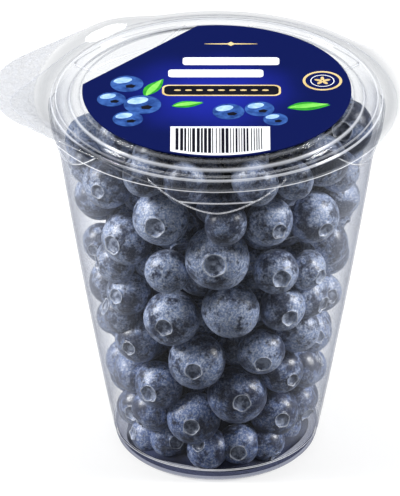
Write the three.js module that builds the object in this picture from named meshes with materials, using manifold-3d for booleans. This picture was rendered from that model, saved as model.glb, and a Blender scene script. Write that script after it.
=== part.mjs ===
// A round clear cup of blueberries with a clear press-on lid and a round label.
// Millimetres, +Z up. The front is -Y, the large pull tab points to -X and the small one to +X. The
// origin is under the middle of the whole width, on the surface that the cup stands on. Everything
// is made round the cup's own axis and then moved to that place.
import * as THREE from "three";
import { mergeVertices } from "three/addons/utils/BufferGeometryUtils.js";
import Module from "manifold-3d";

const wasm = await Module();
wasm.setup();

// Cup: a thin tapered shell that stands on a foot ring, with its floor a little above that ring.
const rimHeight = 107;
const wallAtFoot = 28.46; // outer radius that the wall's curve has at height 0
const wallTaper = 0.192; // its growth for each mm of height
const wallBow = 0.00028; // how much it curves back towards upright
const shell = 0.7;
const footRadius = 27.5;
const footInner = 24.5;
const footFillet = 4.2;
const floorHeight = 1.3;
const cupFlangeRadius = 50.3;

// Stacking lugs: five shallow U-shaped swellings of the wall, hung from the rim.
const lugCount = 5;
const lugDepth = 9.4;
const lugHalfTop = 27; // degrees at the rim
const lugHalfFoot = 8; // degrees along its flat lower edge
const lugSwell = 0.8;
const ledgeDepth = 6.2; // a second, smaller step inside each lug
const ledgeSwell = 0.45;
const lugEdge = 0.7;

// Lid: a thin shell of rings round a raised middle, on a flange that lies on the cup's.
const lidShell = 0.6;
const lidGap = 0.3;
const lidFlangeRadius = 50.7;
const lidFlangeInner = 46.2;
const panelRadius = 38.1;
const panelRise = 2.9;
// Tabs: how far each reaches from the cup's axis, the degrees between its own axis and the normal of
// each straight side, and how far it stands above the flange.
const largeTab = { reach: 62.5, turn: 48, rise: 3 };
const smallTab = { reach: 55, turn: 44, rise: 1.1 };
const cupEar = { reach: 57.5, turn: 32 }; // the cup's own, under the large tab
const cupAxisX = (largeTab.reach - smallTab.reach) / 2;
// The lid's top from its middle out to the flange: radius, and height above the flange's underside.
const lidRings = [
  [0, panelRise],
  [panelRadius - 0.5, panelRise],
  [panelRadius, panelRise - 0.3],
  [panelRadius + 0.4, 1.9],
  [40.2, 1.8],
  [40.9, 1.5],
  [41.7, 0.3],
  [42.6, -0.2],
  [43.5, 0.1],
  [44.3, 1.2],
  [45.0, 1.5],
  [45.7, 1.3],
];

// Label: a thin disc with a straight cut across its upper left.
const labelRadius = 37.4;
const labelThickness = 0.25;
const labelCut = [-37.3, 3.3, -5.4, 37.0]; // from x, y to x, y

// Fruit: the heap fills the cup and a core closes it inside.
const fruitClearance = 0.6; // to the cup and the lid
const smallestFruit = 6.3; // half widths
const largestFruit = 8.4;
const fruitFlatness = 0.87; // height of a fruit for its width
const fruitCount = 180; // before the squeezed ones are taken out
const heapTop = rimHeight + panelRise - lidShell + lidGap;
const coreInset = 8.6;
const settleSteps = 400;
const closeness = 0.95; // soft skins let centres come this much nearer
const sinkStep = 0.22;
const squeezeLimit = 2.4; // a loose fruit that still overlaps more than this is taken out
const seed = 20261;

// The eye from which the front of the heap was laid out, and its picture's scale in units to a mm.
const eyeDistance = 2194;
const eyePitch = 30.44;
const eyeAim = [-4.66, 0, 59.7];
const pictureMiddle = [200, 248];
const pictureScale = 3.559;

// The fruits that lie against the front wall: across, down and width in that picture, and then the
// middle of the crown where it shows.
const seenFruit = [
  [108, 183, 51, 96, 193],
  [127, 238, 54, 110, 246],
  [161, 217, 57, 154, 229],
  [213, 259, 64, 210, 268],
  [171, 271, 46],
  [129, 292, 48, 114, 297],
  [99, 243, 42, 88, 252],
  [269, 222, 49, 281, 233],
  [313, 217, 54, 327, 232],
  [276, 271, 47, 282, 280],
  [307, 270, 42, 323, 278],
  [324, 292, 38, 334, 297],
  [338, 171, 44],
  [291, 181, 40],
  [172, 318, 57, 163, 329],
  [138, 339, 48, 127, 350],
  [197, 361, 58, 193, 373],
  [121, 360, 42],
  [159, 385, 50, 147, 395],
  [190, 424, 54, 187, 434],
  [138, 407, 44, 128, 416],
  [106, 316, 38],
  [231, 310, 58],
  [282, 308, 47, 291, 320],
  [311, 331, 44, 320, 338],
  [261, 352, 48, 263, 366],
  [281, 371, 46, 294, 382],
  [233, 397, 60, 238, 407],
  [276, 414, 50, 285, 423],
  [315, 366, 40],
  [311, 408, 44],
  [239, 447, 44, 238, 457],
  [179, 454, 42, 186, 459],
  [288, 443, 40],
  [131, 438, 40],
  [147, 173, 46],
  [184, 177, 44],
  [258, 178, 47],
];

const roundSteps = 40;
const labelSteps = 24;
const coreSteps = 18;
const fruitAround = 8;
const fruitRings = 4;
const facetedGrowth = 1.04; // makes up for the flat faces of a fruit

const degrees = (value) => (value * Math.PI) / 180;
const outerWall = (z) => wallAtFoot + wallTaper * z - wallBow * z * z;
const innerWall = (z) => outerWall(z) - shell;

function smoothStep(from, to, value) {
  const t = Math.min(Math.max((value - from) / (to - from), 0), 1);
  return t * t * (3 - 2 * t);
}

// Angle from the front, in degrees from -180 to 180, positive towards +X.
const fromFront = (angle) => (Math.atan2(Math.sin(angle), Math.cos(angle)) * 180) / Math.PI;

// The joined-up, position-only form of a geometry, without triangles that have shrunk to nothing.
function welded(geometry) {
  const bare = new THREE.BufferGeometry();
  bare.setAttribute("position", geometry.getAttribute("position").clone());
  if (geometry.index) bare.setIndex(geometry.index.clone());
  const merged = mergeVertices(bare, 1e-3);
  const corners = merged.index.array;
  const kept = [];
  for (let i = 0; i < corners.length; i += 3) {
    const [a, b, c] = corners.subarray(i, i + 3);
    if (a !== b && b !== c && c !== a) kept.push(a, b, c);
  }
  merged.setIndex(kept);
  return merged;
}

// Turns a profile of [radius, height] points round the Z axis. reshape(radius, height, angle) may
// move each point, and angle 0 is the front.
function turned(profile, steps, reshape = (radius, height) => [radius, height]) {
  const points = profile.map(([radius, height]) => new THREE.Vector2(radius, height));
  const geometry = new THREE.LatheGeometry(points, steps);
  const position = geometry.getAttribute("position");
  for (let i = 0; i < position.count; i++) {
    const row = i % profile.length;
    const turn = (Math.floor(i / profile.length) % steps) * ((2 * Math.PI) / steps);
    const [radius, height] = reshape(profile[row][0], profile[row][1], turn);
    position.setXYZ(i, radius * Math.sin(turn), -radius * Math.cos(turn), height);
  }
  return welded(geometry);
}

function solidOf(geometry) {
  const { position } = geometry.attributes;
  return new wasm.Manifold(
    new wasm.Mesh({
      numProp: 3,
      vertProperties: new Float32Array(position.array),
      triVerts: new Uint32Array(geometry.index.array),
    }),
  );
}

function geometryOf(solid) {
  const { vertProperties, triVerts } = solid.getMesh();
  const geometry = new THREE.BufferGeometry();
  geometry.setAttribute("position", new THREE.BufferAttribute(vertProperties, 3));
  geometry.setIndex(new THREE.BufferAttribute(triVerts, 1));
  return geometry;
}

// Outline of a round flange with one tab, as a radius at side degrees from the tab's axis. The
// tab's straight sides touch the round edge and end in an arc that reaches the tip.
function tabOutline(round, reach, turn, side) {
  const slope = Math.cos(degrees(turn));
  const tipCentre = (reach - round) / (1 - slope);
  const tipRadius = reach - tipCentre;
  const touch = Math.atan2(tipRadius * Math.sin(degrees(turn)), tipCentre + tipRadius * slope);
  const off = degrees(Math.abs(side));
  if (off >= degrees(turn)) return round;
  if (off >= touch) return round / Math.cos(degrees(turn) - off);
  return tipCentre * Math.cos(off) + Math.sqrt(tipRadius ** 2 - (tipCentre * Math.sin(off)) ** 2);
}

// A flange with one tab towards -X and, where it is given, one towards +X.
function flangeOutline(round, left, right, angle) {
  const front = fromFront(angle);
  if (front < 0) return tabOutline(round, left.reach, left.turn, front + 90);
  return right ? tabOutline(round, right.reach, right.turn, front - 90) : round;
}

// How far the stacking lugs push the wall out at this height and angle.
function lugAt(height, angle) {
  const pitch = 360 / lugCount;
  const side = Math.abs(fromFront(angle) - pitch * Math.round(fromFront(angle) / pitch));
  const below = rimHeight - height;
  const widest = lugHalfTop + ((lugHalfFoot - lugHalfTop) * below) / lugDepth;
  const inside = 1 - smoothStep(widest - 2, widest + 2, side);
  const lug = 1 - smoothStep(lugDepth - lugEdge, lugDepth + lugEdge, below);
  const ledge = 1 - smoothStep(ledgeDepth - lugEdge, ledgeDepth + lugEdge, below);
  return inside * (lugSwell * lug + ledgeSwell * ledge);
}

function cup() {
  const lugRows = [lugDepth + lugEdge, lugDepth - lugEdge, ledgeDepth + lugEdge, ledgeDepth - lugEdge, 3];
  const wallRows = [footFillet, 24, 48, 72, 90, ...lugRows.map((below) => rimHeight - below)];
  const flangeInner = outerWall(rimHeight);
  const profile = [
    [0, floorHeight - shell],
    [footInner - 1, floorHeight - shell],
    [footInner, 0],
    [footRadius, 0],
    [footRadius + 1, 0.9],
    [footRadius + 1.5, 2.2],
    ...wallRows.map((z) => [outerWall(z), z]),
    [flangeInner, rimHeight - shell],
    [cupFlangeRadius, rimHeight - shell],
    [cupFlangeRadius, rimHeight],
    [flangeInner - shell, rimHeight],
    ...wallRows.slice(1).reverse().map((z) => [innerWall(z), z]),
    [innerWall(6), 6],
    [footRadius + 0.6, floorHeight + 1.7],
    [footRadius, floorHeight + 0.6],
    [footRadius - 1, floorHeight],
    [0, floorHeight],
  ];
  return turned(profile, roundSteps, (radius, height, angle) => {
    if (radius === cupFlangeRadius) return [flangeOutline(radius, cupEar, null, angle), height];
    const onWall = radius > footRadius + 2 && height < rimHeight - shell;
    return [radius + (onWall ? lugAt(height, angle) : 0), height];
  });
}

// The tabs stand a little above the flange, rising from the ring outwards.
function tabRise(angle, share) {
  const side = Math.sin(angle) * lidFlangeRadius;
  const rise = largeTab.rise * smoothStep(14, 34, -side) + smallTab.rise * smoothStep(36, 47, side);
  return rise * smoothStep(0, 0.6, share);
}

function lid() {
  const shares = [0, 0.3, 0.65, 1];
  const atShare = (share) => lidFlangeInner + share * (lidFlangeRadius - lidFlangeInner);
  const top = [...lidRings, ...shares.map((share) => [atShare(share), lidShell])];
  const underside = top.map(([radius, height]) => [radius, height - lidShell]);
  const profile = [...underside, ...top.reverse()];
  return turned(profile, roundSteps, (radius, height, angle) => {
    const level = rimHeight + lidGap + height;
    if (radius < lidFlangeInner) return [radius, level];
    const share = (radius - lidFlangeInner) / (lidFlangeRadius - lidFlangeInner);
    const edge = flangeOutline(lidFlangeRadius, largeTab, smallTab, angle);
    return [lidFlangeInner + share * (edge - lidFlangeInner), level + tabRise(angle, share)];
  });
}

function label() {
  const [x0, y0, x1, y1] = labelCut;
  const shape = new THREE.Shape();
  shape.absarc(0, 0, labelRadius, Math.atan2(y0, x0), Math.atan2(y1, x1), false);
  shape.closePath();
  const geometry = new THREE.ExtrudeGeometry(shape, {
    depth: labelThickness,
    bevelEnabled: false,
    curveSegments: labelSteps,
  });
  geometry.translate(0, 0, rimHeight + lidGap + panelRise + lidGap);
  return welded(geometry);
}

// A seeded draw from 0 to 1.
let draw = seed;
function chance() {
  draw = (draw * 1664525 + 1013904223) % 4294967296;
  return draw / 4294967296;
}

// How far from the axis a fruit of this half width may lie at this height.
const reachAt = (z, radius) => innerWall(z) - 1.013 * (radius + fruitClearance);

// How high its middle may be, as far from the axis as this: under the lid's rings.
function roofAt(distance, radius) {
  const free = radius + fruitClearance;
  let roof = heapTop - free;
  for (const [ring, height] of lidRings.slice(3, 9)) {
    const across = ring - distance;
    if (across * across >= free * free) continue;
    const underside = rimHeight + lidGap + height - lidShell;
    roof = Math.min(roof, underside - Math.sqrt(free * free - across * across));
  }
  return roof;
}

// The places of the fruits that are seen: each line of sight is followed to where a fruit of that
// width touches the wall, or to where it passes nearest to that.
function seenHeap() {
  const pitch = degrees(eyePitch);
  const towardsEye = [0, -Math.cos(pitch), Math.sin(pitch)];
  const upwards = [0, Math.sin(pitch), Math.cos(pitch)];
  const eye = eyeAim.map((value, axis) => value + eyeDistance * towardsEye[axis]);
  return seenFruit.map(([across, down, width, crownAcross, crownDown]) => {
    const side = (across - pictureMiddle[0]) / pictureScale;
    const rise = (pictureMiddle[1] - down) / pictureScale;
    const aim = eyeAim.map((value, axis) => value + rise * upwards[axis] + (axis === 0 ? side : 0));
    const sight = aim.map((value, axis) => (value - eye[axis]) / eyeDistance);
    const half = width / pictureScale / 2;
    let best = Infinity;
    let place = aim;
    for (let along = eyeDistance - 90; along < eyeDistance + 60 && best > 0; along += 0.25) {
      const point = eye.map((value, axis) => value + along * sight[axis]);
      const over = Math.hypot(point[0], point[1]) - reachAt(point[2], half);
      if (over < best) {
        best = over;
        place = point;
      }
    }
    const tilt = crownAcross === undefined ? [0.2, -0.4] : [crownAcross - across, crownDown - down];
    const size = crownAcross === undefined ? 1 : width / 2;
    const aside = tilt[0] / size;
    const lower = tilt[1] / size;
    const facing = Math.sqrt(Math.max(1 - aside * aside - lower * lower, 0.04));
    const sign = crownAcross === undefined ? -1 : 1;
    const crown = towardsEye.map(
      (value, axis) => sign * facing * value - lower * upwards[axis] + (axis === 0 ? aside : 0),
    );
    const [x, y, z] = place.map((value) => Math.round(value * 1000) / 1000);
    const radius = Math.round(half * 1000) / 1000;
    return { x, y, z, radius, crown, home: [x, y, z] };
  });
}

// Fruits that fill the rest of the cup, scattered at first.
function scattered(count) {
  const fruits = [];
  while (fruits.length < count) {
    const radius = smallestFruit + ((largestFruit - smallestFruit) * (chance() + chance())) / 2;
    const x = 80 * chance() - 40;
    const y = 80 * chance() - 40;
    const z = floorHeight + radius + (heapTop - floorHeight - 2 * radius) * chance();
    const crown = [2 * chance() - 1, 2 * chance() - 1, 2 * chance() - 1.2];
    if (Math.sqrt(x * x + y * y) < reachAt(z, radius)) fruits.push({ x, y, z, radius, crown });
  }
  return fruits;
}

function keepInside(fruit) {
  const distance = Math.sqrt(fruit.x * fruit.x + fruit.y * fruit.y);
  const lowest = floorHeight + fruit.radius + fruitClearance;
  fruit.z = Math.max(lowest, Math.min(fruit.z, roofAt(distance, fruit.radius)));
  const reach = reachAt(fruit.z, fruit.radius);
  if (distance > reach) {
    fruit.x *= reach / distance;
    fruit.y *= reach / distance;
  }
}

// Pushes two fruits apart where they overlap. A seen fruit stays and the loose one gives way.
function pushApart(a, b) {
  const dx = b.x - a.x;
  const dy = b.y - a.y;
  const dz = b.z - a.z;
  const least = closeness * (a.radius + b.radius);
  const squared = dx * dx + dy * dy + dz * dz;
  if (squared >= least * least || squared === 0) return;
  const distance = Math.sqrt(squared);
  const push = (least - distance) / distance;
  const shareA = a.home && !b.home ? 0 : b.home && !a.home ? 1 : 0.5;
  const shareB = 1 - shareA;
  a.x -= shareA * push * dx;
  a.y -= shareA * push * dy;
  a.z -= shareA * push * dz;
  b.x += shareB * push * dx;
  b.y += shareB * push * dy;
  b.z += shareB * push * dz;
}

const overlap = (a, b) => a.radius + b.radius - Math.hypot(a.x - b.x, a.y - b.y, a.z - b.z);

// The whole heap, settled.
function heap() {
  const seen = seenHeap();
  const fruits = [...seen, ...scattered(fruitCount - seen.length)];
  for (let step = 0; step < settleSteps; step++) {
    const sink = sinkStep * (1 - step / settleSteps);
    for (const fruit of fruits) {
      if (!fruit.home) fruit.z -= sink;
      else {
        fruit.x += 0.1 * (fruit.home[0] - fruit.x);
        fruit.y += 0.1 * (fruit.home[1] - fruit.y);
        fruit.z += 0.1 * (fruit.home[2] - fruit.z);
      }
    }
    for (let i = 0; i < fruits.length; i++) {
      for (let j = i + 1; j < fruits.length; j++) pushApart(fruits[i], fruits[j]);
    }
    fruits.forEach(keepInside);
  }
  const kept = [];
  for (const fruit of fruits) {
    if (fruit.home || kept.every((other) => overlap(fruit, other) < squeezeLimit)) kept.push(fruit);
  }
  return kept;
}

// A fruit: a slightly flattened ball with its crown's axis turned the right way.
function fruitGeometry({ x, y, z, radius, crown }) {
  const ball = new THREE.SphereGeometry(facetedGrowth * radius, fruitAround, fruitRings);
  ball.scale(1, fruitFlatness, 1);
  const axis = new THREE.Vector3(...crown).normalize();
  ball.applyQuaternion(new THREE.Quaternion().setFromUnitVectors(new THREE.Vector3(0, 1, 0), axis));
  ball.translate(x, y, z);
  return welded(ball);
}

// The core that closes the heap inside, under the fruits that show.
function core() {
  const heights = [floorHeight + 5, 30, 60, 82, heapTop - 11];
  const profile = heights.map((z) => [innerWall(z) - coreInset, z]);
  return turned([[0, heights[0]], ...profile, [0, heights.at(-1)]], coreSteps);
}

const reachesCore = ({ x, y, z, radius }) =>
  Math.hypot(x, y) + radius > innerWall(z) - coreInset + 2.5 || z + radius > heapTop - 7 || z < floorHeight + 10;

function berries() {
  let solid = solidOf(core());
  for (const fruit of heap().filter(reachesCore)) solid = solid.add(solidOf(fruitGeometry(fruit)));
  const whole = solid.decompose().sort((a, b) => b.volume() - a.volume())[0];
  return geometryOf(whole);
}

function mesh(name, geometry, material) {
  geometry.translate(cupAxisX, 0, 0);
  const made = new THREE.Mesh(geometry, new THREE.MeshStandardMaterial(material));
  made.name = name;
  return made;
}

const clear = { roughness: 0.08, metalness: 0, transparent: true, opacity: 0.3 };
const punnet = new THREE.Group();
punnet.add(mesh("cup", cup(), { color: 0xe8edf0, ...clear }));
punnet.add(mesh("lid", lid(), { color: 0xe2e6e8, ...clear }));
punnet.add(mesh("label", label(), { color: 0x0d1456, roughness: 0.35, metalness: 0 }));
punnet.add(mesh("berries", berries(), { color: 0x5a6680, roughness: 0.6, metalness: 0 }));

export default punnet;
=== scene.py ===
import math

import bpy
import numpy as np
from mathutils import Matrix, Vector


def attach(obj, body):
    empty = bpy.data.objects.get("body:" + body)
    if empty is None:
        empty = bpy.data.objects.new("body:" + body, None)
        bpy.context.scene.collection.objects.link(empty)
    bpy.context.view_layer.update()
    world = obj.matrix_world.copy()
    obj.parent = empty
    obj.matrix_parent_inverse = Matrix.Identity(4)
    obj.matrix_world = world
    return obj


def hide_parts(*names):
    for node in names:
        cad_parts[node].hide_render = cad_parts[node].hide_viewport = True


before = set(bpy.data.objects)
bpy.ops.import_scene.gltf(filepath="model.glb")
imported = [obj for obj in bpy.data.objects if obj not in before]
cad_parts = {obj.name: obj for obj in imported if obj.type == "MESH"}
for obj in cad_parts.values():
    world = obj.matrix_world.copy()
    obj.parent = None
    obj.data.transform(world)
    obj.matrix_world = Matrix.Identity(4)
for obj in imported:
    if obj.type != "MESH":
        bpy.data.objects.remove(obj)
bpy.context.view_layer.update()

# Lengths are in millimetres until a mesh is written. The cup's axis lies AXIS_X from the origin.
MM = 0.001
RIM = 107.0
LARGE_TAB = {"reach": 62.5, "turn": 48.0, "rise": 3.0, "bend": (14, 34)}
SMALL_TAB = {"reach": 55.0, "turn": 44.0, "rise": 1.1, "bend": (36, 47)}
CUP_EAR = {"reach": 57.5, "turn": 32.0}
AXIS_X = (LARGE_TAB["reach"] - SMALL_TAB["reach"]) / 2

CUP_FLANGE = 50.3
LID_FLANGE = 50.7
LID_FLANGE_INNER = 46.2
LID_GAP = 0.3
LID_SEAT = RIM + LID_GAP
LID_FLANGE_LEVEL = 0.6
PANEL_RISE = 2.9
PANEL_TOP = LID_SEAT + PANEL_RISE
CAD_SHELL, CAD_LID_SHELL = 0.7, 0.6
SHEET = 0.42  # thickness of the plastic, as on the real pack
LID_RINGS = [  # radius, and height over the lid's seat
    (0, PANEL_RISE), (37.6, PANEL_RISE), (38.1, 2.6), (38.5, 1.9), (40.2, 1.8), (40.9, 1.5),
    (41.7, 0.3), (42.6, -0.2), (43.5, 0.1), (44.3, 1.2), (45.0, 1.5), (45.7, 1.3),
]
LABEL_RADIUS = 37.4
LABEL_CUT = (-37.3, 3.3, -5.4, 37.0)
LABEL_LOW, LABEL_TOP = PANEL_TOP + 0.06, PANEL_TOP + 0.40

# The heap, laid out by the same rule and from the same values as the CAD's.
FRUIT_CLEARANCE = 0.6
SMALLEST, LARGEST = 6.3, 8.4
FRUIT_COUNT = 180
FLOOR_HEIGHT = 1.3
HEAP_TOP = RIM + PANEL_RISE - CAD_LID_SHELL + LID_GAP
SPREAD = 40
STEPS, CLOSENESS, SINK, SQUEEZE, HOMING = 400, 0.95, 0.22, 2.4, 0.1
WALL_PLAY = 1.013
EYE_DISTANCE, EYE_PITCH = 2194.0, 30.44
EYE_AIM = (-4.66, 0.0, 59.7)
PICTURE_HEIGHT = 496
PICTURE_MIDDLE, PICTURE_SCALE = (200, 248), 3.559
SIGHT_NEAR, SIGHT_FAR, SIGHT_STEP = 90, 60, 0.25
HIDDEN_CROWN = (0.2, -0.4)
# Each fruit that the photo shows: its middle and width, and its crown's middle where it has one.
SEEN_FRUIT = [
    (108, 183, 51, 96, 193), (127, 238, 54, 110, 246), (161, 217, 57, 154, 229),
    (213, 259, 64, 210, 268), (171, 271, 46), (129, 292, 48, 114, 297),
    (99, 243, 42, 88, 252), (269, 222, 49, 281, 233), (313, 217, 54, 327, 232),
    (276, 271, 47, 282, 280), (307, 270, 42, 323, 278), (324, 292, 38, 334, 297),
    (338, 171, 44), (291, 181, 40), (172, 318, 57, 163, 329), (138, 339, 48, 127, 350),
    (197, 361, 58, 193, 373), (121, 360, 42), (159, 385, 50, 147, 395),
    (190, 424, 54, 187, 434), (138, 407, 44, 128, 416), (106, 316, 38), (231, 310, 58),
    (282, 308, 47, 291, 320), (311, 331, 44, 320, 338), (261, 352, 48, 263, 366),
    (281, 371, 46, 294, 382), (233, 397, 60, 238, 407), (276, 414, 50, 285, 423),
    (315, 366, 40), (311, 408, 44), (239, 447, 44, 238, 457), (179, 454, 42, 186, 459),
    (288, 443, 40), (131, 438, 40), (147, 173, 46), (184, 177, 44), (258, 178, 47),
]


def outer_wall(z):
    return 28.46 + 0.192 * z - 0.00028 * z * z


def inner_wall(z):
    return outer_wall(z) - CAD_SHELL


def smooth_step(low, high, value):
    """From 0 at low to 1 at high. low may be the larger."""
    t = min(max((value - low) / (high - low), 0.0), 1.0)
    return t * t * (3 - 2 * t)


# Stacking lugs: U-shaped swellings of the wall that hang from the rim. Pitch and half width are in
# degrees round the cup.
LUG_PITCH, LUG_DEPTH, LUG_HALF, LUG_CURVE = 72, 10.2, 25.6, 1.7
LUG_SWELL, LEDGE_SWELL = 0.8, 0.45
LEDGE_DEPTH = 6.4
BASE_LINE = 4.2

# The scene's core ends this far within the cup's wall, and fruits wholly inside it are left out.
CORE_INSET = 18.0
CORE_FOOT_INSET = 11.5
CORE_TOP = 98
CORE_LUMP = 0.8
SHOWN_LOW, SHOWN_HIGH = 9, 97


# The heap


class Draws:
    def __init__(self, seed):
        self.state = seed

    def __call__(self):
        self.state = (self.state * 1664525 + 1013904223) % 4294967296
        return self.state / 4294967296


def reach_at(z, radius):
    return inner_wall(z) - WALL_PLAY * (radius + FRUIT_CLEARANCE)


def roof_at(distance, radius):
    free = radius + FRUIT_CLEARANCE
    roof = HEAP_TOP - free
    for ring, height in LID_RINGS[3:9]:
        across = ring - distance
        if across * across >= free * free:
            continue
        underside = RIM + LID_GAP + height - CAD_LID_SHELL
        roof = min(roof, underside - math.sqrt(free * free - across * across))
    return roof


def seen_heap():
    """[x, y, z, radius, home, crown] of each fruit that lies against the front wall."""
    pitch = math.radians(EYE_PITCH)
    towards = (0.0, -math.cos(pitch), math.sin(pitch))
    upwards = (0.0, math.sin(pitch), math.cos(pitch))
    eye = [EYE_AIM[a] + EYE_DISTANCE * towards[a] for a in range(3)]
    made = []
    for across, down, width, *crown_at in SEEN_FRUIT:
        side = (across - PICTURE_MIDDLE[0]) / PICTURE_SCALE
        rise = (PICTURE_MIDDLE[1] - down) / PICTURE_SCALE
        aim = [EYE_AIM[a] + rise * upwards[a] + (side if a == 0 else 0) for a in range(3)]
        sight = [(aim[a] - eye[a]) / EYE_DISTANCE for a in range(3)]
        half = width / PICTURE_SCALE / 2
        best, place = math.inf, aim
        along = EYE_DISTANCE - SIGHT_NEAR
        while along < EYE_DISTANCE + SIGHT_FAR and best > 0:
            point = [eye[a] + along * sight[a] for a in range(3)]
            over = math.hypot(point[0], point[1]) - reach_at(point[2], half)
            if over < best:
                best, place = over, point
            along += SIGHT_STEP
        if crown_at:
            aside = (crown_at[0] - across) / (width / 2)
            lower = (crown_at[1] - down) / (width / 2)
        else:
            aside, lower = HIDDEN_CROWN
        facing = math.sqrt(max(1 - aside * aside - lower * lower, 0.04))
        sign = 1 if crown_at else -1
        crown = [
            sign * facing * towards[a] - lower * upwards[a] + (aside if a == 0 else 0)
            for a in range(3)
        ]
        home = [math.floor(v * 1000 + 0.5) / 1000 for v in place]
        radius = math.floor(half * 1000 + 0.5) / 1000
        made.append([*home, radius, home, crown])
    return made


def scattered(count, chance):
    made = []
    while len(made) < count:
        radius = SMALLEST + ((LARGEST - SMALLEST) * (chance() + chance())) / 2
        x = 2 * SPREAD * chance() - SPREAD
        y = 2 * SPREAD * chance() - SPREAD
        z = FLOOR_HEIGHT + radius + (HEAP_TOP - FLOOR_HEIGHT - 2 * radius) * chance()
        crown = [2 * chance() - 1, 2 * chance() - 1, 2 * chance() - 1.2]
        if math.sqrt(x * x + y * y) < reach_at(z, radius):
            made.append([x, y, z, radius, None, crown])
    return made


def keep_inside(fruit):
    x, y, z, radius = fruit[:4]
    distance = math.sqrt(x * x + y * y)
    lowest = FLOOR_HEIGHT + radius + FRUIT_CLEARANCE
    fruit[2] = max(lowest, min(z, roof_at(distance, radius)))
    reach = reach_at(fruit[2], radius)
    if distance > reach:
        fruit[0] *= reach / distance
        fruit[1] *= reach / distance


def push_all_apart(fruits):
    """One round in which fruits that meet move apart. Those with a home stay where they are."""
    for i, a in enumerate(fruits):
        for b in fruits[i + 1:]:
            least = CLOSENESS * (a[3] + b[3])
            dx = b[0] - a[0]
            if dx >= least or -dx >= least:
                continue
            dy = b[1] - a[1]
            if dy >= least or -dy >= least:
                continue
            dz = b[2] - a[2]
            squared = dx * dx + dy * dy + dz * dz
            if squared >= least * least or squared == 0:
                continue
            distance = math.sqrt(squared)
            push = (least - distance) / distance
            if a[4] and not b[4]:
                share = 0.0
            elif b[4] and not a[4]:
                share = 1.0
            else:
                share = 0.5
            other = 1 - share
            a[0] -= share * push * dx
            a[1] -= share * push * dy
            a[2] -= share * push * dz
            b[0] += other * push * dx
            b[1] += other * push * dy
            b[2] += other * push * dz


def heap():
    """[x, y, z, radius, home, crown] of each fruit, after they have sunk and settled."""
    seen = seen_heap()
    fruits = seen + scattered(FRUIT_COUNT - len(seen), Draws(20261))
    for step in range(STEPS):
        sink = SINK * (1 - step / STEPS)
        for fruit in fruits:
            if fruit[4]:
                for a in range(3):
                    fruit[a] += HOMING * (fruit[4][a] - fruit[a])
            else:
                fruit[2] -= sink
        push_all_apart(fruits)
        for fruit in fruits:
            keep_inside(fruit)
    kept = []
    for fruit in fruits:
        overlaps = (fruit[3] + o[3] - math.dist(fruit[:3], o[:3]) for o in kept)
        if fruit[4] or all(o < SQUEEZE for o in overlaps):
            kept.append(fruit)
    return kept


# Small fruits of the scene alone, in gaps against the wall: all round the base, and at both sides.
TUCK_TRIES = 8000
TUCK_RADIUS = (4.7, 6.6)
TUCK_SQUEEZE, TUCK_MEETING = 3.8, 1.6
BASE_TUCK = {"most": 30, "rise": 1.2, "sector": math.pi / 2}
SIDE_TUCK = {"most": 14, "rise": 86.0, "sector": 0.75}


def tucked(fruits, chance, most, rise, sector):
    """Fruits up to rise over the floor, within a sector to each side of the X axis."""
    heap_places = np.array([fruit[:4] for fruit in fruits])
    made = []
    for attempt in range(TUCK_TRIES):
        radius = TUCK_RADIUS[1] - (TUCK_RADIUS[1] - TUCK_RADIUS[0]) * attempt / TUCK_TRIES
        z = FLOOR_HEIGHT + radius + rise * chance()
        away = inner_wall(z) - 1.01 * radius
        turn = math.pi * (attempt % 2) + sector * (2 * chance() - 1)
        place = (away * math.cos(turn), away * math.sin(turn), z)
        gaps = np.linalg.norm(heap_places[:, :3] - place, axis=1) - heap_places[:, 3] - radius
        if gaps.min() < -TUCK_SQUEEZE:
            continue
        if any(math.dist(place, other[:3]) < other[3] + radius - TUCK_MEETING for other in made):
            continue
        crown = [math.cos(turn) + chance() - 0.5, math.sin(turn) + chance() - 0.5, 1.6 * chance() - 0.9]
        made.append([*place, radius, None, crown])
        if len(made) == most:
            break
    return made


# Meshes


def write_piece(name, vertices, faces, materials, slot, indices=None, sharp=50, attributes=None):
    """A piece from vertices in millimetres round the cup's axis."""
    mesh = bpy.data.meshes.new(name)
    v = np.asarray(vertices, float).reshape(-1, 3)
    v = (v + (AXIS_X, 0, 0)) * MM
    mesh.from_pydata(v.tolist(), [], faces)
    for material in materials:
        mesh.materials.append(material)
    mesh.polygons.foreach_set("use_smooth", [True] * len(mesh.polygons))
    if indices is not None:
        mesh.polygons.foreach_set("material_index", indices)
    for key, values in (attributes or {}).items():
        made = mesh.attributes.new(key, "FLOAT", "POINT")
        made.data.foreach_set("value", np.asarray(values, np.float32))
    mesh.update()
    mesh.set_sharp_from_angle(angle=math.radians(sharp))
    piece = bpy.data.objects.new(name, mesh)
    bpy.context.scene.collection.objects.link(piece)
    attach(piece, "root")
    return piece


def turned(profile, steps, reshape):
    """Vertices, faces and edge light of a closed shell turned round the axis, on which its profile
    starts and ends. Edge light is a painted highlight, how much the plastic is painted as catching
    the light there, from 0 to 1. reshape takes radius, height, turn and the point's tag, and gives
    radius, height and light."""
    vertices, faces, rows, light = [], [], [], []
    for radius, height, *tag in profile:
        if radius == 0:
            rows.append([len(vertices)] * steps)
            vertices.append((0, 0, reshape(radius, height, 0, *tag)[1]))
            light.append(0)
            continue
        rows.append(list(range(len(vertices), len(vertices) + steps)))
        for k in range(steps):
            turn = 2 * math.pi * k / steps
            r, z, lit = reshape(radius, height, turn, *tag)
            vertices.append((r * math.sin(turn), -r * math.cos(turn), z))
            light.append(lit)
    for low, high in zip(rows, rows[1:]):
        for k in range(steps):
            n = (k + 1) % steps
            corners = [low[k], low[n], high[n], high[k]]
            face = [c for i, c in enumerate(corners) if c != corners[i - 1]]
            if len(face) > 2:
                faces.append(face)
    return vertices, faces, light


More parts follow.
